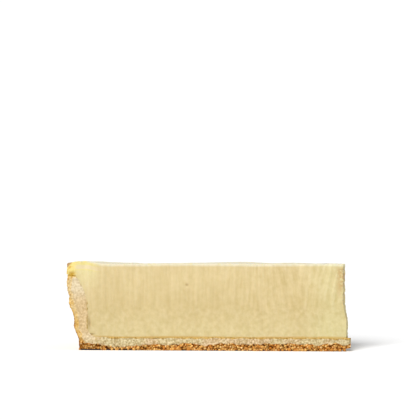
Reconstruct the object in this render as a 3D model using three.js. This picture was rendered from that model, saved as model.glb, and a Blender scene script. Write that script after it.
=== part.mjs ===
// A slice of baked cheesecake, one twelfth of a round cake. A shortcrust shell, pressed into a
// flared tin, holds a set custard that rose over the rim of the crust and browned there.
// Millimetres, +Z up. The slice stands on its base, with its tip towards +X.
import * as THREE from "three";
import { mergeVertices } from "three/addons/utils/BufferGeometryUtils.js";

// The cake and its two cuts
const SLICES_IN_CAKE = 12;
const RIM_RADIUS = 132; // outside of the cake at its upright rim
const CAKE_HEIGHT = 39.6; // board to the flat of the custard's top, at the front cut

// The crust
const BASE_THICKNESS = 6.1;
const FLARE = 5.7; // the foot of the wall stands this far in from the rim
const FLARE_HEIGHT = 27; // the wall leans out up to here and stands upright above
const INSIDE_RADIUS = 122.6; // of the wall, which stands upright inside
const TAPER_HEIGHT = 20; // from here up the inside curves outwards to the rim
const TAPER_CURVE = 1.8; // power of that curve
const RIM_THICKNESS = 3.8;
const RIM_HEIGHT = 34.2; // at the inside edge of the rim
const RIM_SLOPE = 0.6; // the rim's outside edge is this much higher
const RIM_GROOVE = 1; // hollow along the rim, where the custard has lifted off it
const INSIDE_FILLET = 4; // between the base and the wall
const CRUST_TIP = 3.2; // from the cake's centre to the blunt tip of the base
const TIP_CHIP = { height: 0.9, reach: 6 }; // the underside is broken away at the tip

// The custard
const CUSTARD_TIP_AT_BASE = 4.6; // from the cake's centre to the broken tip
const CUSTARD_TIP_AT_TOP = 6;
const TIP_STEP = { from: 13, to: 23 }; // heights between which the tip falls back
const LIP_ROUNDING = 0.6; // on the top edge of the lip that lies over the rim
const SWELL = { front: 1.15, back: 0.35, radius: 125, width: 6.5 }; // puffed ring inside the rim
const TOP_FALL = { depth: 1.1, from: 60, to: 115 }; // the top sinks to the back, between these radii
const CLEARANCE = 0.3; // between the crust and the custard

// The unevenness of baked and broken surfaces: the depth of each kind and the width of its bumps
const WALL_BUMPS = { depth: 0.55, width: 6 };
const CRUMB = { depth: 0.4, width: 2.6 };
const CRAGS = { depth: 0.9, width: 2.4 };
const CRAG_MARGIN = 3; // how far in from a broken edge the crags reach
const KNIFE_DRAG = { depth: 0.3, width: 3.4, length: 32 };
const TOP_WAVES = { depth: 0.35, width: 16 };
const TOP_FADE = 4; // power by which the top's rise dies away below it
const TIP_BREAK = { depth: 0.7, width: 4 };
const TIP_FADE = 12; // power by which the tip's raggedness dies away behind it
const LATTICE_STRIDES = [127.1, 311.7, 74.7];
const LATTICE_SCATTER = 43758.5453;

// Grid of each solid: along the section, through its depth and from cut to cut
const CRUST_GRID = { base: 44, wall: 16, depth: 5, across: 20 };
const CUSTARD_GRID = { along: 46, body: 9, lip: 3, across: 14 };
const FILLET_CROWDING = 1.8; // above 1, the grid's levels gather at the inside fillet

const HALF_ANGLE = Math.PI / SLICES_IN_CAKE;
const { clamp, lerp, smoothstep } = THREE.MathUtils;

// Repeatable number from -1 to 1 for a corner of the noise lattice.
function latticeValue(...corner) {
  const place = corner.reduce((sum, count, n) => sum + count * LATTICE_STRIDES[n], 0);
  const scattered = Math.sin(place) * LATTICE_SCATTER;
  return 2 * (scattered - Math.floor(scattered)) - 1;
}

// Smooth, repeatable unevenness from -1 to 1, with bumps about one unit wide.
function unevenness(x, y, z) {
  const [i, j, k] = [x, y, z].map(Math.floor);
  const [a, b, c] = [x - i, y - j, z - k].map((t) => smoothstep(t, 0, 1));
  const alongX = (dj, dk) => lerp(latticeValue(i, j + dj, k + dk), latticeValue(i + 1, j + dj, k + dk), a);
  const alongY = (dk) => lerp(alongX(0, dk), alongX(1, dk), b);
  return lerp(alongY(0), alongY(1), c);
}

// Unevenness over the slice for one kind of relief, in millimetres.
function relief({ depth, width }, radius, height, sideways) {
  return depth * unevenness(radius / width, height / width, sideways / width);
}

// Distance of a point from the nearer cut, measured along the arc; across runs from -1 to 1.
function fromCut(radius, across) {
  return radius * HALF_ANGLE * (1 - Math.abs(across));
}

// A point of the slice: distance from the cake's centre, height, place between the cuts, and how far
// it stands proud of a cut face.
function slicePoint(radius, height, across, proud) {
  const turn = across * HALF_ANGLE;
  const side = Math.sign(across) * proud;
  return new THREE.Vector3(
    -radius * Math.cos(turn) + side * Math.sin(turn),
    radius * Math.sin(turn) + side * Math.cos(turn),
    height,
  );
}

// A block cut into a grid and bent into shape. place(u, v, w) gives the point for each grid corner,
// where u runs from the tip to the rim, v inwards or upwards, and w from the front cut to the back.
function bentBlock(segments, place) {
  const block = new THREE.BoxGeometry(1, 1, 1, ...segments);
  block.deleteAttribute("normal");
  block.deleteAttribute("uv");
  const geometry = mergeVertices(block);
  const corners = geometry.getAttribute("position");
  for (let n = 0; n < corners.count; n++) {
    const [u, v, w] = [corners.getX(n), corners.getY(n), corners.getZ(n)].map((t) => t + 0.5);
    corners.setXYZ(n, ...place(u, v, w));
  }
  geometry.computeVertexNormals();
  return geometry;
}

// Section of the crust's wall
function outsideRadius(height) {
  return RIM_RADIUS - FLARE * Math.max(0, 1 - height / FLARE_HEIGHT);
}

function insideRadius(height) {
  const taper = clamp((height - TAPER_HEIGHT) / (RIM_HEIGHT - TAPER_HEIGHT), 0, 1);
  const plain = lerp(INSIDE_RADIUS, RIM_RADIUS - RIM_THICKNESS, taper ** TAPER_CURVE);
  const belowFillet = clamp(INSIDE_FILLET - (height - BASE_THICKNESS), 0, INSIDE_FILLET);
  const fillet = INSIDE_FILLET - Math.sqrt(INSIDE_FILLET ** 2 - belowFillet ** 2);
  return plain - fillet;
}

// The crust is one bent sheet: along the base from the tip, then up the wall to the rim.
// v runs from its underside and outside to its inside.
function crustSection(u, v) {
  const corner = CRUST_GRID.base / (CRUST_GRID.base + CRUST_GRID.wall);
  if (u <= corner) {
    const outwards = u / corner;
    const under = lerp(CRUST_TIP, outsideRadius(0), outwards);
    const over = lerp(CRUST_TIP, insideRadius(BASE_THICKNESS), outwards);
    const chip = TIP_CHIP.height * (1 - smoothstep(under, CRUST_TIP, CRUST_TIP + TIP_CHIP.reach));
    return { radius: lerp(under, over, v), height: lerp(chip, BASE_THICKNESS, v) };
  }
  const upwards = (u - corner) / (1 - corner);
  const outside = lerp(0, RIM_HEIGHT + RIM_SLOPE, upwards);
  const inside = lerp(BASE_THICKNESS, RIM_HEIGHT, upwards ** FILLET_CROWDING);
  const groove = u === 1 ? RIM_GROOVE * Math.sin(Math.PI * v) : 0;
  return {
    radius: lerp(outsideRadius(outside), insideRadius(inside), v),
    height: lerp(outside, inside, v) - groove,
  };
}

function crustPoint(u, v, w) {
  const across = 2 * w - 1;
  const { radius, height } = crustSection(u, v);
  const sideways = radius * across * HALF_ANGLE;
  const skin = 1 - v;
  const upTheWall = smoothstep(height, 0, BASE_THICKNESS);
  const baked = relief(WALL_BUMPS, 0, height, sideways) + relief(CRUMB, 0, height, sideways);
  const fromFoot = Math.max(0, outsideRadius(0) - radius);
  const fromEdge = Math.min(fromCut(radius, across), fromFoot);
  const nearEdge = skin * (1 - upTheWall) * clamp(1 - fromEdge / CRAG_MARGIN, 0, 1);
  const crags = nearEdge * Math.abs(relief(CRAGS, radius, 0, sideways));
  const onCut = Math.abs(across) === 1;
  const proud = onCut ? relief(CRUMB, radius, height, across) : 0;
  return slicePoint(radius + skin * upTheWall * baked, height + crags, across, proud);
}

// The custard's levels: up the inside of the crust, then the lip over its rim.
function custardLevels() {
  const levels = [];
  const bottom = BASE_THICKNESS + CLEARANCE;
  const lipFoot = RIM_HEIGHT + CLEARANCE;
  for (let n = 0; n <= CUSTARD_GRID.body; n++) {
    levels.push(lerp(bottom, lipFoot, (n / CUSTARD_GRID.body) ** FILLET_CROWDING));
  }
  for (let n = 0; n <= CUSTARD_GRID.lip; n++) {
    levels.push(lerp(lipFoot + RIM_SLOPE, CAKE_HEIGHT, n / CUSTARD_GRID.lip));
  }
  return levels;
}

const LEVELS = custardLevels();

// Outside of the custard: inside the crust up to its rim, then out to the lip.
function custardRadius(height) {
  if (height <= RIM_HEIGHT + CLEARANCE) {
    return insideRadius(Math.min(height, RIM_HEIGHT)) - CLEARANCE;
  }
  const intoRounding = clamp(height - (CAKE_HEIGHT - LIP_ROUNDING), 0, LIP_ROUNDING);
  return RIM_RADIUS - LIP_ROUNDING + Math.sqrt(LIP_ROUNDING ** 2 - intoRounding ** 2);
}

// Rise of the custard's top: a puffed ring inside the rim, a sunken back, and slow waves.
function topRise(radius, across) {
  const fromSwell = (radius - SWELL.radius) / SWELL.width;
  const backwards = (across + 1) / 2;
  const swell = lerp(SWELL.front, SWELL.back, backwards);
  const fall = TOP_FALL.depth * backwards * smoothstep(radius, TOP_FALL.from, TOP_FALL.to);
  const waves = relief(TOP_WAVES, radius, 0, radius * across * HALF_ANGLE);
  return swell * Math.exp(-fromSwell * fromSwell) - fall + waves;
}

function custardPoint(u, v, w) {
  const across = 2 * w - 1;
  const level = LEVELS[Math.round(v * (LEVELS.length - 1))];
  const fallenBack = smoothstep(level, TIP_STEP.from, TIP_STEP.to);
  const tip = lerp(CUSTARD_TIP_AT_BASE, CUSTARD_TIP_AT_TOP, fallenBack);
  const radius = lerp(tip, custardRadius(level), u);
  const height = level + v ** TOP_FADE * topRise(radius, across);
  const overRim = u === 1 && level > RIM_HEIGHT + CLEARANCE;
  const bumps = overRim ? relief(WALL_BUMPS, 0, height, radius * across * HALF_ANGLE) : 0;
  const broken = (1 - u) ** TIP_FADE * Math.abs(relief(TIP_BREAK, 0, height, 0));
  const onCut = Math.abs(across) === 1;
  const streak = unevenness(radius / KNIFE_DRAG.width, height / KNIFE_DRAG.length, across);
  return slicePoint(radius + bumps + broken, height, across, onCut ? KNIFE_DRAG.depth * streak : 0);
}

// The slice, set with the middle of its outline on the origin
const crust = new THREE.Mesh(
  bentBlock([CRUST_GRID.base + CRUST_GRID.wall, CRUST_GRID.depth, CRUST_GRID.across], crustPoint),
  new THREE.MeshStandardMaterial({ color: 0xd2a55f, roughness: 0.9, metalness: 0 }),
);
crust.name = "crust";

const custard = new THREE.Mesh(
  bentBlock([CUSTARD_GRID.along, LEVELS.length - 1, CUSTARD_GRID.across], custardPoint),
  new THREE.MeshStandardMaterial({ color: 0xe4cf98, roughness: 0.55, metalness: 0 }),
);
custard.name = "custard";

const slice = new THREE.Group();
slice.add(crust, custard);
const outline = new THREE.Box3().setFromObject(slice);
const middle = outline.getCenter(new THREE.Vector3());
for (const piece of slice.children) {
  piece.position.set(-middle.x, -middle.y, -outline.min.z);
}

export default slice;
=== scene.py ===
import math

import bmesh
import bpy
import numpy as np
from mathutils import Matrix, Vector, noise


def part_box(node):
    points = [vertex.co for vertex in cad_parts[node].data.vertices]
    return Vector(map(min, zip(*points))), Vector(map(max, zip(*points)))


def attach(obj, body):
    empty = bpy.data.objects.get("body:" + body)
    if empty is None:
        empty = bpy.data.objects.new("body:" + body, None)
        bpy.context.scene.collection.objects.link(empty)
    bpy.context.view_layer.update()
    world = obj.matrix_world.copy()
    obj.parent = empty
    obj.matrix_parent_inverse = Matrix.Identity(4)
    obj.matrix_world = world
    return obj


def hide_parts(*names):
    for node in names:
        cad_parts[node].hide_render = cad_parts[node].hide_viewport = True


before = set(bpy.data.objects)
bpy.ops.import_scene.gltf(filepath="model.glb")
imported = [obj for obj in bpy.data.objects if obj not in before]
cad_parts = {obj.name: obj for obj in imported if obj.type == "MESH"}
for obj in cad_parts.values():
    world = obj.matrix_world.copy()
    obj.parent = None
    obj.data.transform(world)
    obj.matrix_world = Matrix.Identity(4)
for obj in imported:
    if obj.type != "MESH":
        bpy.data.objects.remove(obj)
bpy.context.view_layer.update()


# Crust: one shell of shortcrust, its base and its flared wall pressed into the tin as one dough.
# Baked dry and crumbly: toasted grains underneath, golden outside, pale where the knife went
# through, and soaked tan where the custard lay on it. The toasted grains carry a painted highlight
# on their tops and painted shade in their gaps, and near the rim the bottom edge is darkened partly
# by scorching and partly as a painted contact shadow.

MM = 0.001  # sizes in this file are in millimetres
HALF_ANGLE = math.radians(15)  # from the middle of the slice to each cut
CRUST_TIP = 3.2  # from the cake's centre to the blunt tip of the base
BASE_THICKNESS = 6.1
RIM_RADIUS = 132
FLARE = 5.7  # the foot of the wall stands this far in from the rim
FLARE_HEIGHT = 27
INSIDE_RADIUS = 122.6  # of the wall, which stands upright inside
TAPER_HEIGHT = 20  # from here up the inside curves outwards to the rim
TAPER_CURVE = 1.8  # power of that curve
RIM_THICKNESS = 3.8
RIM_HEIGHT = 34.2  # at the inside edge of the rim
RIM_SLOPE = 0.6  # the rim's outside edge is this much higher
INSIDE_FILLET = 4
FOOT_SPREAD = 4  # the base turns into the wall over this distance
TIP_CHIP = {"height": 1.4, "reach": 7}  # the underside is broken away at the tip
FILLET_CROWDING = 1.8  # above 1, the grid's levels gather at the inside fillet
CUT_CROWDING = 0.6  # above 0, the grid's columns gather at the two cuts
CRUST_GRID = {"base": 440, "wall": 100, "depth": 26, "across": 56}

# A pair of numbers says where something begins to show and where it shows in full.
TOASTED = {"base": 2.6, "wall": 2.1, "blend": 0.8}  # depth of the toasted layer
TOAST_AT_TIP = {"more": 0.6, "radius": (95, 45)}
TOAST_AT_FOOT = {"more": 1, "past": 2}  # in full this far past the foot of the wall
TOAST_WAVES = {"width": 11, "depth": 0.9}  # the toasted layer is thicker in some places
THIN_TOAST = {"radius": 108, "width": 8, "depth": 1.3}  # the dough stayed pale there
SOAKED = {"depth": 0.6, "blend": 0.35, "unevenness": 0.5}  # under the custard
SOAKED_END = (2, 8)  # from the foot of the wall
LAYER_LUMPS = 3  # width of the lumps in the edges of the toasted and soaked layers
GRAIN = {"width": 1.1, "depth": 0.7, "level": 0.6, "on_wall": 0.6, "outside": 0.35}  # toasted grains
FINE_CRUMB = {"width": 0.9, "depth": 0.25}
WALL_BUMPS = {"width": 6, "depth": 0.55}
WALL_LEDGES = {"spacing": 9.7, "height": 20.2, "depth": 0.35, "reach": 15}  # near the front cut
INSIDE_LUMPS = {"width": 3.2, "depth": 0.35}  # of the crust's inside edge on the cuts
CRAG_MARGIN = 3  # how far in from a broken edge the underside is craggy
CRAGS = {"width": 2.4, "depth": 0.25, "gaps": 0.15}
TIP_BREAK = {"width": 2.2, "depth": 0.8}  # of the broken tip
PALE_HEIGHT = (21, 29)  # the wall's crumb is palest towards the rim
PALE_FILLET = {"radius": 121.6, "height": 6, "width": 3.4, "rise": 2, "share": 0.8}  # pale too
# the dent under the lip is also painted dark yellow: partly the baked skin, partly painted shade of the
# crevice
RIM_DENT_AND_SHADE = {"radius": 130, "height": 34.5, "width": 1.6, "rise": 1, "depth": 0.5}  # dent under the lip
SEAM_AND_SHADE = (0.9, 0.2)  # from the inside of the wall: tan where the custard stuck to it, darkened as painted shade of the joint
GOLDEN_RIM = 1.2  # how far down the rim is golden
# darkest along the bottom edge near the rim: partly a scorched underside, partly a painted contact shadow
SCORCH_AND_CONTACT_SHADE = {"height": (1.2, 0.3), "radius": (92, 106)}
BROWN_SKIN_AND_OUTLINE_SHADE = (0.9, 0.2)  # of the browned outside; on the cuts it draws a thin dark outline, partly painted shade along the edge
BROWNING = {"height": (8, 30), "crumb": (0.45, 0.05), "skin": (0.45, 0.25)}  # heat low down and high up

CENTRE_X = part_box("crust")[1].x / MM + CRUST_TIP * math.cos(HALF_ANGLE)  # the cake's centre


def lerp(start, end, share):
    return start + (end - start) * share


def fade(low, high, value):
    """0 at low and before it, 1 at high and past it, smooth between them; low may be above high."""
    share = np.clip((value - low) / (high - low), 0, 1)
    return share * share * (3 - 2 * share)


def bell(distance):
    """1 at no distance, falling smoothly to nothing at about two."""
    return np.exp(-(distance**2))


def lumps(points, width):
    """Smooth, repeatable unevenness from about -1 to 1, with lumps of that width."""
    return np.array([noise.noise(point) for point in points / width])


def grains(points, width):
    """Packed grains: each point's height on its grain, from 0 in a gap to 1, and the grain's tone."""
    height = np.empty(len(points))
    tone = np.empty(len(points))
    for n, point in enumerate(points / width):
        distances, middles = noise.voronoi(point)
        height[n] = 1 - (distances[0] / distances[1]) ** 2
        tone[n] = 0.5 + 0.5 * noise.cell(middles[0])
    return height, tone


def from_cut(radius, across):
    """Distance from the nearer cut, along the arc."""
    return radius * HALF_ANGLE * (1 - np.abs(across))


def slice_points(radius, height, across, proud):
    """Points of the slice: distance from the cake's centre, height, place between the cuts from -1 to
    1, and how far they stand proud of a cut."""
    turn = across * HALF_ANGLE
    side = np.sign(across) * proud
    x = CENTRE_X - radius * np.cos(turn) + side * np.sin(turn)
    y = radius * np.sin(turn) + side * np.cos(turn)
    return np.stack([x, y, height], axis=-1)


def on_mark(mark, radius, height):
    """How near a point is to the middle of a mark on the cuts, from 0 to 1."""
    aside = (radius - mark["radius"]) / mark["width"]
    return bell(np.hypot(aside, (height - mark["height"]) / mark["rise"]))


def block_skin(segments):
    """Grid corners, from 0 to 1, and faces of a block's surface, cut into segments along u, v and w."""
    counts = np.array(segments) + 1
    corners = np.indices(counts).reshape(3, -1).T
    on_skin = ((corners == 0) | (corners == counts - 1)).any(axis=1)
    number = np.full(len(corners), -1)
    number[on_skin] = np.arange(on_skin.sum())
    number = number.reshape(counts)
    faces = []
    for axis in range(3):
        for end in (0, -1):
            side = np.take(number, end, axis=axis)
            quads = np.stack([side[:-1, :-1], side[1:, :-1], side[1:, 1:], side[:-1, 1:]], axis=-1)
            faces_out = (end == -1) != (axis == 1)
            faces.append(quads.reshape(-1, 4)[:, :: 1 if faces_out else -1])
    return corners[on_skin] / (counts - 1), np.concatenate(faces)


def mesh_piece(name, points, faces, masks):
    """A smooth mesh object from points in millimetres, with one float attribute for each mask."""
    mesh = bpy.data.meshes.new(name)
    mesh.from_pydata((points * MM).tolist(), [], faces.tolist())
    for mask, values in masks.items():
        attribute = mesh.attributes.new(mask, "FLOAT", "POINT")
        attribute.data.foreach_set("value", values.astype(np.float32))
    mesh.shade_smooth()
    piece = bpy.data.objects.new(name, mesh)
    bpy.context.scene.collection.objects.link(piece)
    return piece


def place_across(w):
    """Place between the cuts, from -1 to 1, of a column of the grid."""
    across = 2 * w - 1
    return across + CUT_CROWDING * np.sin(math.pi * across) / math.pi


def outside_radius(height):
    return RIM_RADIUS - FLARE * np.maximum(0, 1 - height / FLARE_HEIGHT)


def inside_radius(height):
    taper = np.clip((height - TAPER_HEIGHT) / (RIM_HEIGHT - TAPER_HEIGHT), 0, 1)
    plain = lerp(INSIDE_RADIUS, RIM_RADIUS - RIM_THICKNESS, taper**TAPER_CURVE)
    below_fillet = np.clip(INSIDE_FILLET - (height - BASE_THICKNESS), 0, INSIDE_FILLET)
    fillet = INSIDE_FILLET - np.sqrt(INSIDE_FILLET**2 - below_fillet**2)
    return plain - fillet


def crust_section(u, v):
    """Radius and height along the crust: u from the tip to the rim, v from its skin to its inside."""
    corner = CRUST_GRID["base"] / (CRUST_GRID["base"] + CRUST_GRID["wall"])
    outwards = np.clip(u / corner, 0, 1)
    upwards = np.clip((u - corner) / (1 - corner), 0, 1)
    outside_height = lerp(0, RIM_HEIGHT + RIM_SLOPE, upwards)
    inside_height = lerp(BASE_THICKNESS, RIM_HEIGHT, upwards**FILLET_CROWDING)
    outside = lerp(CRUST_TIP, outside_radius(outside_height), outwards)
    inside = lerp(CRUST_TIP, inside_radius(inside_height), outwards)
    radius = lerp(outside, inside, v)
    height = lerp(outside_height, inside_height, v)
    chip = TIP_CHIP["height"] * (1 - v) * fade(CRUST_TIP + TIP_CHIP["reach"], CRUST_TIP, radius)
    return radius, height + chip


def make_crust():
    grid = [CRUST_GRID["base"] + CRUST_GRID["wall"], CRUST_GRID["depth"], CRUST_GRID["across"]]
    corners, faces = block_skin(grid)
    u, v, w = corners.T
    across = place_across(w)
    radius, height = crust_section(u, v)
    even = slice_points(radius, height, across, 0)
    on_cut = (w == 0) | (w == 1)
    on_skin = v == 0
    up_wall = fade(0, BASE_THICKNESS, height)
    foot = inside_radius(BASE_THICKNESS)
    wall = fade(BASE_THICKNESS / 2, BASE_THICKNESS, height) * fade(foot - FOOT_SPREAD, foot, radius)

    skin_depth = np.minimum(height, outside_radius(height) - radius)
    reach = TOASTED["base"] + TOAST_AT_TIP["more"] * fade(*TOAST_AT_TIP["radius"], radius)
    reach += TOAST_AT_FOOT["more"] * fade(foot - FOOT_SPREAD, foot + TOAST_AT_FOOT["past"], radius)
    reach -= THIN_TOAST["depth"] * bell((radius - THIN_TOAST["radius"]) / THIN_TOAST["width"])
    reach = lerp(reach, TOASTED["wall"], wall)
    reach += TOAST_WAVES["depth"] * lumps(even, TOAST_WAVES["width"])
    blend = TOASTED["blend"]
    edge_lumps = lumps(even, LAYER_LUMPS)
    toasted = fade(reach + blend, reach - blend, skin_depth + blend * edge_lumps)
    under_custard = BASE_THICKNESS - height + SOAKED["unevenness"] * edge_lumps
    soaked = fade(SOAKED["depth"] + SOAKED["blend"], SOAKED["depth"] - SOAKED["blend"], under_custard)
    grain, tone = grains(even, GRAIN["width"])
    grain_relief = GRAIN["depth"] * (grain - GRAIN["level"])
    fine = FINE_CRUMB["depth"] * lumps(even, FINE_CRUMB["width"])

    coarse = toasted * lerp(1, GRAIN["on_wall"], wall)
    dent_and_shade = on_mark(RIM_DENT_AND_SHADE, radius, height)
    proud = fine + coarse * grain_relief - RIM_DENT_AND_SHADE["depth"] * dent_and_shade
    from_front = radius * HALF_ANGLE * (1 + across)
    ledges = np.cos(2 * math.pi * (height - WALL_LEDGES["height"]) / WALL_LEDGES["spacing"])
    ledges *= WALL_LEDGES["depth"] * np.exp(-from_front / WALL_LEDGES["reach"])
    ledges *= height < FLARE_HEIGHT
    baked = WALL_BUMPS["depth"] * lumps(even, WALL_BUMPS["width"]) + ledges
    baked += GRAIN["outside"] * grain_relief + fine
    from_edge = np.minimum(from_cut(radius, across), np.maximum(0, outside_radius(0) - radius))
    near_edge = np.clip(1 - from_edge / CRAG_MARGIN, 0, 1)
    crags = CRAGS["depth"] * near_edge * np.abs(lumps(even, CRAGS["width"]))
    crags += CRAGS["gaps"] * (1 - grain)
    inside_lumps = INSIDE_LUMPS["depth"] * lumps(even, INSIDE_LUMPS["width"]) * v * on_cut
    broken = (u == 0) * TIP_BREAK["depth"] * np.abs(lumps(even, TIP_BREAK["width"]))
    points = slice_points(
        radius + (1 - v) * up_wall * baked - up_wall * inside_lumps + broken,
        height + on_skin * (1 - up_wall) * crags + (1 - up_wall) * inside_lumps,
        across,
        on_cut * proud,
    )

    inside = inside_radius(np.clip(height, BASE_THICKNESS, RIM_HEIGHT))
    pale_fillet = PALE_FILLET["share"] * on_mark(PALE_FILLET, radius, height)
    high = fade(*BROWNING["height"], height)
    browning_and_outline_shade = toasted * lerp(*BROWNING["crumb"], high)
    # browner within a millimetre of the outside: the browned skin, and on the cuts painted shade along
    # the outline
    browning_and_outline_shade += lerp(*BROWNING["skin"], high) * fade(*BROWN_SKIN_AND_OUTLINE_SHADE, skin_depth)
    masks = {
        "toasted": toasted,
        "soaked": soaked * fade(*SOAKED_END, foot - radius),
        "wall": wall,
        "pale": np.maximum(fade(*PALE_HEIGHT, height), pale_fillet),
        "seam_tan_and_shade": wall * fade(*SEAM_AND_SHADE, radius - inside),
        "rim": fade(RIM_HEIGHT - GOLDEN_RIM, RIM_HEIGHT, height),
        "dent_and_shade": dent_and_shade,
        "scorch_and_contact_shade": fade(*SCORCH_AND_CONTACT_SHADE["height"], height) * fade(*SCORCH_AND_CONTACT_SHADE["radius"], radius),
        "browning_and_outline_shade": browning_and_outline_shade,
        "grain": grain,
        "tone": tone,
    }
    return mesh_piece("crust_baked", points, faces, masks)


LIGHT_ON_CUT = 1.17  # how much brighter than its own colour the front cut looks in the studio light
NOISE_RANGE = (0.3, 0.7)  # a shader's soft noise seldom goes past these


def seen_as(red, green, blue):
    """The shader's colour for a surface that looks like this on a screen, in levels from 0 to 255, by the
    screen's own curve."""
    shares = [level / 255 for level in (red, green, blue)]
    linear = [s / 12.92 if s <= 0.04045 else ((s + 0.055) / 1.055) ** 2.4 for s in shares]
    return (*[s / LIGHT_ON_CUT for s in linear], 1)


def fill_inputs(tree, node, inputs):
    """Set a node's inputs to values, or link them to other nodes' outputs."""
    for name, value in inputs.items():
        if isinstance(value, bpy.types.NodeSocket):
            tree.links.new(value, node.inputs[name])
        else:
            node.inputs[name].default_value = value


def add_node(tree, kind, inputs, **settings):
    node = tree.nodes.new("ShaderNode" + kind)
    for name, value in settings.items():
        setattr(node, name, value)
    fill_inputs(tree, node, inputs)
    return node


def read_mask(tree, name):
    return add_node(tree, "Attribute", {}, attribute_name=name).outputs["Fac"]


def mottle(tree, width, detail=2, place=None):
    """Soft noise from 0 to 1 with spots of that width, in millimetres."""
    place = place or add_node(tree, "TexCoord", {}).outputs["Object"]
    inputs = {"Vector": place, "Scale": 1 / (width * MM), "Detail": detail}
    return add_node(tree, "TexNoise", inputs).outputs["Fac"]


def calculate(tree, operation, first, second):
    return add_node(tree, "Math", {0: first, 1: second}, operation=operation).outputs[0]


def both(tree, first, second):
    return calculate(tree, "MULTIPLY", first, second)


def add_spots(tree, value, width, amount):
    """A value made uneven by soft noise, up or down by about half of the amount."""
    spots = calculate(tree, "SUBTRACT", mottle(tree, width, detail=3), 0.5)
    return calculate(tree, "ADD", value, calculate(tree, "MULTIPLY", spots, 2 * amount))


def ramp(tree, value, low, high):
    """0 at low and 1 at high, smooth between them; low may be above high."""
    inputs = {"Value": value, "From Min": low, "From Max": high}
    return add_node(tree, "MapRange", inputs, interpolation_type="SMOOTHSTEP").outputs["Result"]


def patches(tree, width, detail, edge):
    """Patches of that width, in millimetres: soft noise with its edge drawn in."""
    return ramp(tree, mottle(tree, width, detail), *edge)


def spread(tree, value, least, most):
    """A noise, spread over a range of shader values."""
    low, high = NOISE_RANGE
    inputs = {"Value": value, "From Min": low, "From Max": high, "To Min": least, "To Max": most}
    return add_node(tree, "MapRange", inputs).outputs["Result"]


def mix(tree, share, first, second, blend="MIX"):
    node = add_node(tree, "Mix", {0: share, 6: first, 7: second}, data_type="RGBA", blend_type=blend)
    return node.outputs[2]


def new_material(name):
    material = bpy.data.materials.new(name)
    material.use_nodes = True
    tree = material.node_tree
    return material, tree, tree.nodes["Principled BSDF"]


def set_finish(tree, shader, colour, relief, finish):
    """Colour, uneven roughness, fine relief and shine of a material."""
    roughness = spread(tree, mottle(tree, finish["patch"]), *finish["roughness"])
    inputs = {"Strength": finish["bump"], "Distance": finish["relief"] * MM, "Height": relief}
    normal = add_node(tree, "Bump", inputs).outputs["Normal"]
    fill_inputs(tree, shader, {"Base Color": colour, "Roughness": roughness, "Normal": normal})
    shader.inputs["Specular IOR Level"].default_value = finish["specular"]


def new_group(name, inputs, outputs):
    """An empty shader node group with float or colour sockets."""
    group = bpy.data.node_groups.new(name, "ShaderNodeTree")
    for direction, sockets in (("INPUT", inputs), ("OUTPUT", outputs)):
        for socket, kind in sockets.items():
            group.interface.new_socket(socket, in_out=direction, socket_type="NodeSocket" + kind)
    return group, group.nodes.new("NodeGroupInput").outputs, group.nodes.new("NodeGroupOutput").inputs


def use_group(tree, group, inputs):
    return add_node(tree, "Group", inputs, node_tree=group).outputs


SPECK_WIDTH = 0.9
SPECK_SHADE = (0.62, 0.54, 0.4, 1)
SPECK_LIGHT = (1.18, 1.2, 1.26, 1)


def make_crumb_grain():
    """Shortcrust's own grain: specks of flour and fat, and the roughness of a broken face."""
    inputs = {"Color": "Color", "Speckle": "Float"}
    group, given, result = new_group("crumb_grain", inputs, {"Color": "Color", "Height": "Float"})
    specks = mottle(group, SPECK_WIDTH, detail=4)
    shade = mix(group, ramp(group, specks, *NOISE_RANGE), SPECK_SHADE, SPECK_LIGHT)
    grained = mix(group, 1, given["Color"], shade, "MULTIPLY")
    group.links.new(mix(group, given["Speckle"], given["Color"], grained), result["Color"])
    group.links.new(specks, result["Height"])
    return group


BLOTCHES = {"width": 1.9, "amount": 0.9}
GOLD_HEAT = (0.05, 0.5)
BROWN_HEAT = (0.55, 1.1)


def make_oven_colour():
    """Browning in blotches: from pale through gold to brown as the heat rises."""
    inputs = {"Pale": "Color", "Gold": "Color", "Brown": "Color", "Heat": "Float"}
    group, given, result = new_group("oven_colour", inputs, {"Color": "Color"})
    heat = add_spots(group, given["Heat"], **BLOTCHES)
    golden = mix(group, ramp(group, heat, *GOLD_HEAT), given["Pale"], given["Gold"])
    browned = mix(group, ramp(group, heat, *BROWN_HEAT), golden, given["Brown"])
    group.links.new(browned, result["Color"])
    return group


crumb_grain = make_crumb_grain()
oven_colour = make_oven_colour()

BASE_CRUMB = seen_as(223, 207, 162)
ROSY_CRUMB = seen_as(228, 203, 162)
WALL_CRUMB = seen_as(230, 202, 154)
PALE_CRUMB = seen_as(243, 225, 188)
SOAKED_TAN = seen_as(214, 177, 102)
# tan of the joint with the custard, partly real, partly painted shade
SEAM_TAN_AND_SHADE = seen_as(198, 168, 98)
RIM_GOLD = seen_as(238, 200, 108)
# dark yellow of the crevice under the lip: partly baked skin, partly painted shade
MUSTARD_AND_CREVICE_SHADE = seen_as(208, 160, 30)
# painted highlight for the tops of the toasted grains
PAINTED_GRAIN_HIGHLIGHT = seen_as(255, 232, 178)
GRAIN_GOLD = seen_as(243, 190, 106)
GRAIN_TOAST = seen_as(204, 132, 48)
# painted shade for the gaps between the toasted grains
GAP_SHADE_BROWN = seen_as(98, 46, 2)
# partly scorched crust, partly painted contact shadow along the bottom edge
SCORCHED_AND_CONTACT_SHADED = seen_as(64, 26, 4)
WALL_PALE = seen_as(243, 215, 158)
WALL_GOLD = seen_as(238, 196, 116)
WALL_BROWN = seen_as(194, 140, 68)

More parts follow.
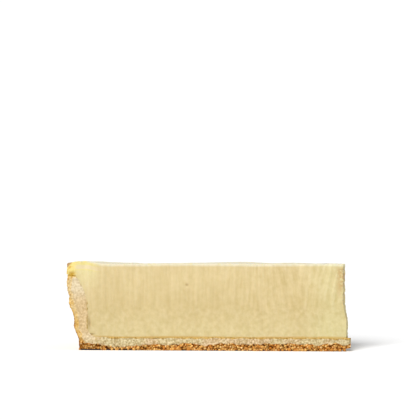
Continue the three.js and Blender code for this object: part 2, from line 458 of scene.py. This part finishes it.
ROSY_PATCHES = {"width": 9, "detail": 2, "edge": (0.4, 0.6)}
SEAM_SHADE_PATCHES = {"width": 1.8, "detail": 2, "edge": (0.42, 0.6)}
DARK_SPECKS = {"width": 1.2, "detail": 4, "edge": (0.45, 0.3)}  # on the outside of the wall
DARK_SPECK_SHARE = 0.8
TOAST_PATCHES = {"width": 3.5, "shade": (0.7, 1.35)}
GRAIN_TONES = (0.15, 0.85)
# where on each grain the painted highlight shows
GRAIN_HIGHLIGHT_HEIGHTS = (0.65, 0.95)  # heights on a grain, from 0 in a gap to 1
GRAIN_HIGHLIGHT_SHARE = 0.8
GRAIN_GAP_SHADE = (0.45, 0.1)
RAGGED_EDGES = {
    "soaked": {"width": 2, "amount": 0.4, "edge": (0.25, 0.75)},
    "scorch_and_contact_shade": {"width": 2, "amount": 0.5, "edge": (0.3, 0.8)},
    "toasted": {"width": 1.6, "amount": 0.4, "edge": (0.25, 0.75)},
}
WALL_SMOOTHNESS = 0.5  # the wall shows this much less of the crumb's own grain
CRUST_FINISH = {"patch": 1, "roughness": (0.7, 0.95), "bump": 0.6, "relief": 0.3, "specular": 0.05}


def ragged_mask(tree, name):
    """A mask whose soft edge is broken up into spots."""
    ragged = RAGGED_EDGES[name]
    uneven = add_spots(tree, read_mask(tree, name), ragged["width"], ragged["amount"])
    return ramp(tree, uneven, *ragged["edge"])


def make_shortcrust():
    material, tree, shader = new_material("shortcrust")
    wall = read_mask(tree, "wall")
    grain = read_mask(tree, "grain")

    crumb = mix(tree, patches(tree, **ROSY_PATCHES), BASE_CRUMB, ROSY_CRUMB)
    crumb = mix(tree, wall, crumb, WALL_CRUMB)
    crumb = mix(tree, read_mask(tree, "pale"), crumb, PALE_CRUMB)
    crumb = mix(tree, ragged_mask(tree, "soaked"), crumb, SOAKED_TAN)
    # tan where the custard stuck to the wall, darkened as painted shade of the joint between them
    seam_tan_and_shade = both(tree, read_mask(tree, "seam_tan_and_shade"), patches(tree, **SEAM_SHADE_PATCHES))
    crumb = mix(tree, seam_tan_and_shade, crumb, SEAM_TAN_AND_SHADE)

    tone = ramp(tree, read_mask(tree, "tone"), *GRAIN_TONES)
    toasted_base = mix(tree, tone, GRAIN_TOAST, GRAIN_GOLD)
    # painted highlight on the tops of the grains
    grain_highlight = both(tree, ramp(tree, grain, *GRAIN_HIGHLIGHT_HEIGHTS), GRAIN_HIGHLIGHT_SHARE)
    toasted_base = mix(tree, grain_highlight, toasted_base, PAINTED_GRAIN_HIGHLIGHT)
    # painted shade in the gaps between the grains
    toasted_base = mix(tree, ramp(tree, grain, *GRAIN_GAP_SHADE), toasted_base, GAP_SHADE_BROWN)
    toast_shade = spread(tree, mottle(tree, TOAST_PATCHES["width"]), *TOAST_PATCHES["shade"])
    toasted_base = mix(tree, 1, toasted_base, toast_shade, "MULTIPLY")
    # the bottom edge darkened: partly scorched, partly a painted contact shadow
    toasted_base = mix(tree, ragged_mask(tree, "scorch_and_contact_shade"), toasted_base, SCORCHED_AND_CONTACT_SHADED)

    # browning, with painted shade along the outline of the cuts
    heat = read_mask(tree, "browning_and_outline_shade")
    colours = {"Pale": WALL_PALE, "Gold": WALL_GOLD, "Brown": WALL_BROWN, "Heat": heat}
    wall_skin = use_group(tree, oven_colour, colours)["Color"]
    dark_specks = both(tree, patches(tree, **DARK_SPECKS), DARK_SPECK_SHARE)
    wall_skin = mix(tree, dark_specks, wall_skin, WALL_BROWN)

    outside = mix(tree, wall, toasted_base, wall_skin)
    colour = mix(tree, ragged_mask(tree, "toasted"), crumb, outside)
    colour = mix(tree, read_mask(tree, "rim"), colour, RIM_GOLD)
    # painted shade in the crevice under the lip, in dark yellow, partly the baked skin
    colour = mix(tree, read_mask(tree, "dent_and_shade"), colour, MUSTARD_AND_CREVICE_SHADE)
    speckle = calculate(tree, "SUBTRACT", 1, both(tree, wall, WALL_SMOOTHNESS))
    grained = use_group(tree, crumb_grain, {"Color": colour, "Speckle": speckle})
    set_finish(tree, shader, grained["Color"], grained["Height"], CRUST_FINISH)
    return material


crust = make_crust()
crust.data.materials.append(make_shortcrust())
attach(crust, "root")
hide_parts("crust")


# Custard: the set filling of cheese, eggs and cream, poured into the crust and baked firm. It rose
# over the rim as a lip and browned there, has a pale skin on top, painted paler still as a sheen,
# and shows the knife's drag on the two cuts. Its bubble, crease and gap at the wall, the crevice
# under the lip and the edge of the tip carry painted shade.

CAKE_HEIGHT = 39.6
CUSTARD_TIP_AT_BASE = 4.6
CUSTARD_TIP_AT_TOP = 6
TIP_STEP = (13, 23)  # heights between which the tip falls back
STUCK = 0.3  # the custard has set into the crust by this much
LIP_ROUNDING = 0.6
LIP_OVERHANG = 0.4
SWELL = {"front": 1.15, "back": 0.35, "radius": 125, "width": 5.7}  # puffed ring inside the rim
TOP_FALL = {"depth": 1.5, "radius": (60, 115)}  # the top sinks to the back
CUSTARD_GRID = {"along": 320, "body": 50, "under_lip": 6, "lip": 12, "across": 62}
TOP_FADE = 4  # power by which the top's rise dies away below it
TIP_FADE = 12  # power by which the tip's raggedness dies away behind it
TOP_WAVES = {"width": 16, "depth": 0.35}
TOP_WRINKLES = {"width": 2.5, "depth": 0.07}
CUSTARD_BREAK = {"width": 4, "depth": 0.7}  # of the broken tip
TIP_CRUMBLE = {"width": 1.7, "depth": 0.6}
CUT_WAVES = {"width": 22, "depth": 0.25}
KNIFE_DRAG = {"width": 2.6, "length": 26, "depth": 0.12}
FINE_DRAG = {"width": 1, "length": 12, "depth": 0.06}
DRAG_LEAN = {"slope": 0.2, "radius": 14, "spacing": 42, "reach": 48, "height": 18}
DRAG_STRETCH = 8  # how many times longer than wide the streaks in the colour are
CUTS_APART = {"relief": 9, "colour": 30}  # so that each cut has streaks of its own
BUBBLE = {"radius": 77.2, "height": 29.9, "width": 0.75, "rise": 0.5, "depth": 0.4}
CREASE = {"radius": 120.8, "height": 7.2, "width": 1.2, "rise": 0.35, "depth": 0.4}
WALL_GAP = {"radius": 121.9, "height": 12, "width": 0.5, "rise": 2.2, "depth": 0.4}
SHARP_EDGE = math.radians(55)


def custard_section(u, v):
    """Radius and height in the custard, and how far out over the rim: u from the tip to the rim, v from
    the base to the top."""
    rows = CUSTARD_GRID["body"] + CUSTARD_GRID["under_lip"] + CUSTARD_GRID["lip"]
    row = v * rows
    up_body = np.clip(row / CUSTARD_GRID["body"], 0, 1)
    out_under = np.clip((row - CUSTARD_GRID["body"]) / CUSTARD_GRID["under_lip"], 0, 1)
    up_lip = np.clip((row - rows + CUSTARD_GRID["lip"]) / CUSTARD_GRID["lip"], 0, 1)
    lip_foot = RIM_HEIGHT + RIM_SLOPE * out_under - STUCK
    level = lerp(BASE_THICKNESS - STUCK, lip_foot, up_body**FILLET_CROWDING)
    level = lerp(level, CAKE_HEIGHT, up_lip)
    in_crust = inside_radius(np.clip(level, BASE_THICKNESS, RIM_HEIGHT)) + STUCK
    into_rounding = np.clip(level - (CAKE_HEIGHT - LIP_ROUNDING), 0, LIP_ROUNDING)
    on_lip = RIM_RADIUS + LIP_OVERHANG - LIP_ROUNDING + np.sqrt(LIP_ROUNDING**2 - into_rounding**2)
    end = lerp(in_crust, on_lip, out_under)
    tip = lerp(CUSTARD_TIP_AT_BASE, CUSTARD_TIP_AT_TOP, fade(*TIP_STEP, level))
    return lerp(tip, end, u), level, out_under


def top_rise(radius, across):
    """How far the top stands above its flat: a ring puffed up inside the rim, a sunken back, waves."""
    backwards = (across + 1) / 2
    swell = lerp(SWELL["front"], SWELL["back"], backwards)
    swell *= bell((radius - SWELL["radius"]) / SWELL["width"])
    on_flat = slice_points(radius, 0 * radius, across, 0)
    waves = TOP_WAVES["depth"] * lumps(on_flat, TOP_WAVES["width"])
    fall = TOP_FALL["depth"] * backwards * fade(*TOP_FALL["radius"], radius)
    return swell - fall + waves


def leaning(radius, height):
    """Place along the cut of the streak that goes through a point; near the tip the streaks lean."""
    turn = 2 * math.pi * (radius - DRAG_LEAN["radius"]) / DRAG_LEAN["spacing"]
    lean = DRAG_LEAN["slope"] * np.cos(turn) * bell(radius / DRAG_LEAN["reach"])
    return radius + lean * np.maximum(0, height - DRAG_LEAN["height"])


def streaks(drag, along, height, across):
    """Streaks that the knife left on the cuts, from about -1 to 1."""
    apart = CUTS_APART["relief"] * across
    place = np.stack([along / drag["width"], height / drag["length"], apart], axis=-1)
    return lumps(place, 1)


def make_custard():
    rows = CUSTARD_GRID["body"] + CUSTARD_GRID["under_lip"] + CUSTARD_GRID["lip"]
    corners, faces = block_skin([CUSTARD_GRID["along"], rows, CUSTARD_GRID["across"]])
    u, v, w = corners.T
    across = place_across(w)
    radius, height, over_rim = custard_section(u, v)
    even = slice_points(radius, height, across, 0)
    on_cut = (w == 0) | (w == 1)

    rise = top_rise(radius, across)
    wrinkles = TOP_WRINKLES["depth"] * lumps(even * (1, 1, 0), TOP_WRINKLES["width"])
    lifted = v**TOP_FADE * rise + (v == 1) * wrinkles

    bumps = (u == 1) * over_rim * WALL_BUMPS["depth"] * lumps(even, WALL_BUMPS["width"])
    broken = CUSTARD_BREAK["depth"] * np.abs(lumps(even * (0, 0, 1), CUSTARD_BREAK["width"]))
    broken += TIP_CRUMBLE["depth"] * np.abs(lumps(even, TIP_CRUMBLE["width"]))

    along = leaning(radius, height)
    proud = CUT_WAVES["depth"] * lumps(even, CUT_WAVES["width"])
    for drag in (KNIFE_DRAG, FINE_DRAG):
        proud += drag["depth"] * streaks(drag, along, height, across)
    painted_pit_shade = np.zeros(len(u))
    # each mark is dented, and its mask also carries painted shade into the colour
    for mark in (BUBBLE, CREASE, WALL_GAP):
        in_mark = on_mark(mark, radius, height) * (w == 0)
        proud -= mark["depth"] * in_mark
        painted_pit_shade = np.maximum(painted_pit_shade, in_mark)
    dent_and_shade = on_mark(RIM_DENT_AND_SHADE, radius, height)
    proud -= RIM_DENT_AND_SHADE["depth"] * dent_and_shade

    ragged = (1 - u) ** TIP_FADE * broken
    points = slice_points(radius + bumps + ragged, height + lifted, across, on_cut * proud)
    masks = {
        "rim_depth": RIM_RADIUS - radius,
        "cut_depth": from_cut(radius, across),
        "top_depth": CAKE_HEIGHT + rise - (height + v**TOP_FADE * rise),
        "painted_pit_shade": painted_pit_shade,
        "dent_and_shade": dent_and_shade,
    }
    piece = mesh_piece("custard_baked", points, faces, masks)
    drag_place = np.stack([along, height / DRAG_STRETCH, CUTS_APART["colour"] * across], axis=-1) * MM
    drag_values = piece.data.attributes.new("drag_place", "FLOAT_VECTOR", "POINT")
    drag_values.data.foreach_set("vector", drag_place.ravel().astype(np.float32))
    piece.data.set_sharp_from_angle(angle=SHARP_EDGE)
    return piece


CUSTARD_UPPER = seen_as(231, 209, 155)
CUSTARD_MIDDLE = seen_as(223, 201, 146)
CUSTARD_LOWER = seen_as(224, 205, 151)
# pale skin, painted paler still as a sheen where the light grazes the top and the cuts' top edge
PALE_SKIN_AND_SHEEN = seen_as(245, 236, 206)
SKIN_GOLD = seen_as(246, 230, 152)
AIRY_CUSTARD = seen_as(247, 228, 180)
RIM_CUSTARD = seen_as(240, 224, 166)
LIP_GOLD = seen_as(255, 234, 146)
LIP_ORANGE = seen_as(240, 192, 88)
LIP_BROWN = seen_as(196, 160, 108)
# painted shade for the edge of the tip, in tan
TIP_TAN_AND_SHADE = seen_as(206, 170, 110)
# painted shade for the bubble, the crease and the gap at the wall
PIT_SHADE = seen_as(176, 144, 84)
PIT_SHARE = 0.8
DENSE_TINT = (0.875, 0.85, 0.74, 1)
AIRY_TINT = (1.125, 1.15, 1.26, 1)
DIM_TINT = (0.983, 0.978, 0.965, 1)
CLEAR_TINT = (1.017, 1.022, 1.035, 1)
THIN_TINT = (1.02, 1.085, 1.09, 1)  # the thin tip lets some light through
THIN_TIP = (104, 122)  # from the rim

# Colours by depth below the top, away from the rim and near it.
BASE_DEPTH = CAKE_HEIGHT - BASE_THICKNESS
# The top band of each cut takes the pale skin with its painted sheen.
BODY_LAYERS = {
    0: PALE_SKIN_AND_SHEEN,
    0.5: PALE_SKIN_AND_SHEEN,
    1.5: CUSTARD_UPPER,
    6: CUSTARD_UPPER,
    19: CUSTARD_MIDDLE,
    30: CUSTARD_LOWER,
    BASE_DEPTH - 0.7: CUSTARD_LOWER,
    BASE_DEPTH - 0.1: SOAKED_TAN,
}
RIM_LAYERS = {
    0: SKIN_GOLD,
    1.5: SKIN_GOLD,
    2.1: AIRY_CUSTARD,
    3.4: AIRY_CUSTARD,
    3.8: SKIN_GOLD,
    4.4: RIM_CUSTARD,
    14: CUSTARD_UPPER,
    24: CUSTARD_MIDDLE,
    BASE_DEPTH: CUSTARD_LOWER,
}
LAYER_SPOTS = {"width": 4, "amount": 0.35}
NEAR_RIM = (17, 9)  # from the rim

STREAKS = {"width": 1.6, "detail": 3}
CURDS = {"width": 2, "detail": 4}
STREAKY_DEPTH = (27, 13)  # below the top; higher up streaks show more than curds
STREAKY_SPOTS = {"width": 8, "amount": 0.5}
STREAKY_SHARE = (0.1, 0.65)
NEAR_TIP = {"from_rim": (60, 105), "below_top": (27, 17)}
CONTRAST = 0.6
MORE_CONTRAST_AT_TIP = 0.4
BROAD_PATCHES = {"width": 8, "detail": 3, "edge": NOISE_RANGE}

ON_TOP = (0.7, 0.2)  # below the top
SKIN_HEAT = (12, 0)  # from the rim
LIP = {"from_rim": (5.4, 2), "below_top": (7, 5)}
LIP_SPOTS = {"width": 2, "amount": 1.6}
ORANGE_LIP = (3.6, 1.6)  # from the rim
ORANGE_PATCHES = {"width": 1.4, "detail": 3, "edge": (0.48, 0.66)}
BROWN_CORNER = {"from_corner": (2.7, 1), "from_cut": (3, 0.5)}
CORNER_SPOTS = {"width": 2, "amount": 1}
BROWN_PATCHES = {"width": 7, "detail": 4, "edge": (0.42, 0.65)}
BROWN_PATCH_SHARE = 0.7
# where the tip's edge gets painted shade in tan patches
TIP_EDGE_SHADE = {"from_rim": (121.5, 126), "below_top": (19, 7), "below_skin": (1, 3)}
TIP_SHADE_PATCHES = {"width": 1.6, "detail": 3, "edge": (0.38, 0.6)}

POCKS = {"width": 0.7, "detail": 3}
POCK_SHARE = 0.5
CUSTARD_FINISH = {"patch": 1.5, "roughness": (0.42, 0.62), "bump": 0.35, "relief": 0.3, "specular": 0.35}
LIGHT_INSIDE = {"weight": 0.15, "radius": (1, 0.7, 0.35), "scale": 2}


def layers(tree, depth, stops):
    """Colours one below the other, each at its depth in millimetres."""
    deepest = max(stops)
    node = add_node(tree, "ValToRGB", {"Fac": calculate(tree, "DIVIDE", depth, deepest)})
    elements = node.color_ramp.elements
    while len(elements) < len(stops):
        elements.new(1)
    for element, (at, colour) in zip(elements, stops.items()):
        element.position = at / deepest
        element.color = colour
    return node.outputs["Color"]


def drag_custard(tree, colour, fine_streaks, rim_depth, top_depth):
    """Curds and knife streaks in the custard's colour; the streaks are boldest near the tip."""
    curds = mottle(tree, **CURDS)
    upper = add_spots(tree, ramp(tree, top_depth, *STREAKY_DEPTH), **STREAKY_SPOTS)
    streaks_less_curds = calculate(tree, "SUBTRACT", fine_streaks, curds)
    streaky = both(tree, streaks_less_curds, spread(tree, upper, *STREAKY_SHARE))
    texture = spread(tree, calculate(tree, "ADD", curds, streaky), 0, 1)
    from_rim = ramp(tree, rim_depth, *NEAR_TIP["from_rim"])
    near_tip = both(tree, from_rim, ramp(tree, top_depth, *NEAR_TIP["below_top"]))
    contrast = calculate(tree, "ADD", CONTRAST, both(tree, near_tip, MORE_CONTRAST_AT_TIP))
    colour = mix(tree, contrast, colour, mix(tree, texture, DENSE_TINT, AIRY_TINT), "MULTIPLY")
    broad = mix(tree, patches(tree, **BROAD_PATCHES), DIM_TINT, CLEAR_TINT)
    return mix(tree, 1, colour, broad, "MULTIPLY")


def bake_custard(tree, colour, rim_depth, top_depth):
    """The skin on top with its painted sheen, the golden lip with its orange and brown patches, and
    painted shade in tan on the tip's edge.
    """
    heat = ramp(tree, rim_depth, *SKIN_HEAT)
    colours = {"Pale": PALE_SKIN_AND_SHEEN, "Gold": SKIN_GOLD, "Brown": LIP_GOLD, "Heat": heat}
    top_skin_and_sheen = use_group(tree, oven_colour, colours)["Color"]
    # the top: pale skin with a painted sheen, golden towards the rim
    colour = mix(tree, ramp(tree, top_depth, *ON_TOP), colour, top_skin_and_sheen)

    lip_height = ramp(tree, top_depth, *LIP["below_top"])
    lip = ramp(tree, add_spots(tree, rim_depth, **LIP_SPOTS), *LIP["from_rim"])
    colour = mix(tree, both(tree, lip, lip_height), colour, LIP_GOLD)
    orange = both(tree, ramp(tree, rim_depth, *ORANGE_LIP), patches(tree, **ORANGE_PATCHES))
    colour = mix(tree, both(tree, orange, lip_height), colour, LIP_ORANGE)
    from_corner = add_spots(tree, calculate(tree, "ADD", rim_depth, top_depth), **CORNER_SPOTS)
    corner = ramp(tree, from_corner, *BROWN_CORNER["from_corner"])
    at_cut = ramp(tree, read_mask(tree, "cut_depth"), *BROWN_CORNER["from_cut"])
    in_patches = both(tree, patches(tree, **BROWN_PATCHES), BROWN_PATCH_SHARE)
    browned = both(tree, corner, calculate(tree, "ADD", at_cut, in_patches))
    colour = mix(tree, browned, colour, LIP_BROWN)
    # painted shade in the crevice under the lip, in dark yellow, partly the baked skin
    colour = mix(tree, read_mask(tree, "dent_and_shade"), colour, MUSTARD_AND_CREVICE_SHADE)

    # painted shade along the tip's edge, in tan patches
    tan = ramp(tree, rim_depth, *TIP_EDGE_SHADE["from_rim"])
    tan = both(tree, tan, ramp(tree, top_depth, *TIP_EDGE_SHADE["below_top"]))
    tan = both(tree, tan, patches(tree, **TIP_SHADE_PATCHES))
    tan = both(tree, tan, ramp(tree, top_depth, *TIP_EDGE_SHADE["below_skin"]))
    return mix(tree, tan, colour, TIP_TAN_AND_SHADE)


def make_set_custard():
    material, tree, shader = new_material("set_custard")
    rim_depth = read_mask(tree, "rim_depth")
    top_depth = read_mask(tree, "top_depth")
    drag_place = add_node(tree, "Attribute", {}, attribute_name="drag_place").outputs["Vector"]
    fine_streaks = mottle(tree, place=drag_place, **STREAKS)

    uneven_depth = add_spots(tree, top_depth, **LAYER_SPOTS)
    body = layers(tree, uneven_depth, BODY_LAYERS)
    near_rim = ramp(tree, rim_depth, *NEAR_RIM)
    colour = mix(tree, near_rim, body, layers(tree, uneven_depth, RIM_LAYERS))
    colour = drag_custard(tree, colour, fine_streaks, rim_depth, top_depth)
    colour = mix(tree, ramp(tree, rim_depth, *THIN_TIP), colour, THIN_TINT, "MULTIPLY")
    # painted shade in the bubble, the crease and the gap at the wall
    colour = mix(tree, both(tree, read_mask(tree, "painted_pit_shade"), PIT_SHARE), colour, PIT_SHADE)
    colour = bake_custard(tree, colour, rim_depth, top_depth)

    relief = calculate(tree, "ADD", fine_streaks, both(tree, mottle(tree, **POCKS), POCK_SHARE))
    set_finish(tree, shader, colour, relief, CUSTARD_FINISH)
    shader.inputs["Subsurface Weight"].default_value = LIGHT_INSIDE["weight"]
    shader.inputs["Subsurface Radius"].default_value = LIGHT_INSIDE["radius"]
    shader.inputs["Subsurface Scale"].default_value = LIGHT_INSIDE["scale"] * MM
    return material


custard = make_custard()
custard.data.materials.append(make_set_custard())
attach(custard, "root")
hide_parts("custard")


# Crumbs: bits that broke off the toasted foot of the crust as it was cut. They stick to the lower
# edge of both cuts and along the foot of the wall.

CRUMB_COUNT = 260
CRUMB_SIZE = (0.35, 0.85)  # half of a crumb's width
CRUMB_STRETCH = (0.7, 1.2)
CRUMB_KNOBS = {"width": 0.7, "depth": 0.35, "apart": 11}  # in crumb sizes
CRUMB_HEIGHT = (0.4, 2.2)  # of the crumbs' middles
CRUMB_MARGIN = 2  # none sticks nearer to the ends of a cut
CRUMB_PROUD = 0.05  # how far the crumbs' middles stand out from a cut
CRUMB_ROUNDNESS = 2  # how many times the ball that they start from is divided
ON_WALL_SHARE = 1 / 3
random = np.random.default_rng(7)


def crumb_ball():
    """Points and faces of a small ball of triangles."""
    ball = bmesh.new()
    bmesh.ops.create_icosphere(ball, subdivisions=CRUMB_ROUNDNESS, radius=1)
    points = np.array([corner.co for corner in ball.verts])
    faces = np.array([[corner.index for corner in face.verts] for face in ball.faces])
    ball.free()
    return points, faces


def crumb_places():
    """Middles of the crumbs: two out of three along the cuts, the others round the foot of the wall."""
    along = random.random(CRUMB_COUNT)
    on_wall = random.random(CRUMB_COUNT) < ON_WALL_SHARE
    side = np.where(random.random(CRUMB_COUNT) < 0.5, -1, 1)
    height = lerp(*CRUMB_HEIGHT, random.random(CRUMB_COUNT) ** 2)
    across = np.where(on_wall, 2 * along - 1, side)
    on_cut = lerp(CRUST_TIP + CRUMB_MARGIN, outside_radius(0) - CRUMB_MARGIN, along)
    radius = np.where(on_wall, outside_radius(height), on_cut)
    return slice_points(radius, height, across, np.where(on_wall, 0, CRUMB_PROUD))


def make_crumbs():
    ball, ball_faces = crumb_ball()
    points, faces, tones = [], [], []
    for n, middle in enumerate(crumb_places()):
        size = random.uniform(*CRUMB_SIZE)
        stretch = random.uniform(*CRUMB_STRETCH, 3)
        knobs = lumps(ball + CRUMB_KNOBS["apart"] * n, CRUMB_KNOBS["width"])
        knobbly = 1 + CRUMB_KNOBS["depth"] * knobs
        shape = ball * knobbly[:, None] * stretch * size
        shape += middle
        shape[:, 2] = np.maximum(shape[:, 2], 0)
        points.append(shape)
        faces.append(ball_faces + n * len(ball))
        tones.append(np.full(len(ball), random.random()))
    masks = {"tone": np.concatenate(tones)}
    return mesh_piece("crumbs", np.concatenate(points), np.concatenate(faces), masks)


CRUMB_SPECKLE = 0.8
CRUMB_FINISH = {"patch": 0.6, "roughness": (0.7, 0.95), "bump": 0.5, "relief": 0.2, "specular": 0.25}


def make_loose_crumb():
    material, tree, shader = new_material("loose_crumb")
    colour = mix(tree, read_mask(tree, "tone"), GRAIN_GOLD, GRAIN_TOAST)
    grained = use_group(tree, crumb_grain, {"Color": colour, "Speckle": CRUMB_SPECKLE})
    set_finish(tree, shader, grained["Color"], grained["Height"], CRUMB_FINISH)
    return material


crumbs = make_crumbs()
crumbs.data.materials.append(make_loose_crumb())
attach(crumbs, "root")


# Studio: a white floor under white light from all round, and a level camera that looks almost square
# at the front cut. Two large soft lamps stand at the front left: a high one lights the slice, and a
# lower one lights just the floor.

CAMERA_TURN = math.radians(20)  # round the slice, from the middle of its length
CAMERA_DISTANCE = 1000
CAMERA_HEIGHT = 64
AIM_RADIUS = 66.6  # the picture's middle, on the front cut, from the cake's centre
FOCAL_LENGTH = 188.6
SENSOR_WIDTH = 36
FLOOR_SIDE = 30000
FLOOR_WHITE = (0.95, 0.95, 0.95, 1)
WORLD_STRENGTH = 0.38
BACKDROP_STRENGTH = 1.05  # the world as the camera sees it
SLICE_LAMP = {"strength": 2.85, "spread": 40, "left": 0.25, "front": 0.5, "up": 0.85}
FLOOR_LAMP = {"strength": 5.2, "spread": 27, "left": 0.25, "front": 0.86, "up": 0.44}

right = Vector((math.cos(CAMERA_TURN), math.sin(CAMERA_TURN), 0))
ahead = Vector((-math.sin(CAMERA_TURN), math.cos(CAMERA_TURN), 0))
up = Vector((0, 0, 1))


def make_floor():
    half = FLOOR_SIDE * MM / 2
    corners = [(-half, -half, 0), (half, -half, 0), (half, half, 0), (-half, half, 0)]
    mesh = bpy.data.meshes.new("floor")
    mesh.from_pydata(corners, [], [(0, 1, 2, 3)])
    piece = bpy.data.objects.new("floor", mesh)
    bpy.context.scene.collection.objects.link(piece)
    material, _, shader = new_material("white_floor")
    shader.inputs["Base Color"].default_value = FLOOR_WHITE
    shader.inputs["Roughness"].default_value = 1
    shader.inputs["Specular IOR Level"].default_value = 0
    mesh.materials.append(material)
    return piece


floor = make_floor()

world = bpy.data.worlds.new("white_studio")
world.use_nodes = True
sky = world.node_tree.nodes["Background"]
sky.inputs["Color"].default_value = (1, 1, 1, 1)
in_view = add_node(world.node_tree, "LightPath", {}).outputs["Is Camera Ray"]
strengths = {"Value": in_view, "To Min": WORLD_STRENGTH, "To Max": BACKDROP_STRENGTH}
strength = add_node(world.node_tree, "MapRange", strengths).outputs["Result"]
world.node_tree.links.new(strength, sky.inputs["Strength"])
bpy.context.scene.world = world


def add_lamp(name, sizes, floor_lit):
    """A large, soft, far lamp that lights just the floor, or everything but the floor."""
    lamp = bpy.data.objects.new(name, bpy.data.lights.new(name, "SUN"))
    lamp.data.energy = sizes["strength"]
    lamp.data.angle = math.radians(sizes["spread"])
    towards_lamp = up * sizes["up"] - right * sizes["left"] - ahead * sizes["front"]
    lamp.rotation_mode = "QUATERNION"
    lamp.rotation_quaternion = towards_lamp.to_track_quat("Z", "Y")
    bpy.context.scene.collection.objects.link(lamp)
    lit = bpy.data.collections.new(name + "_lights")
    lit.objects.link(floor)
    lit.collection_objects[0].light_linking.link_state = "INCLUDE" if floor_lit else "EXCLUDE"
    lamp.light_linking.receiver_collection = lit


add_lamp("slice_lamp", SLICE_LAMP, False)
add_lamp("floor_lamp", FLOOR_LAMP, True)

camera = bpy.data.objects.new("camera", bpy.data.cameras.new("camera"))
camera.data.lens = FOCAL_LENGTH
camera.data.sensor_width = SENSOR_WIDTH
front_cut = np.array([-1.0])
aim = slice_points(np.array([AIM_RADIUS]), np.array([CAMERA_HEIGHT]), front_cut, 0)[0]
camera.location = (Vector(aim) - ahead * CAMERA_DISTANCE) * MM
camera.rotation_mode = "QUATERNION"
camera.rotation_quaternion = ahead.to_track_quat("-Z", "Y")
bpy.context.scene.collection.objects.link(camera)
bpy.context.scene.camera = camera
bpy.context.scene.view_settings.view_transform = "Standard"
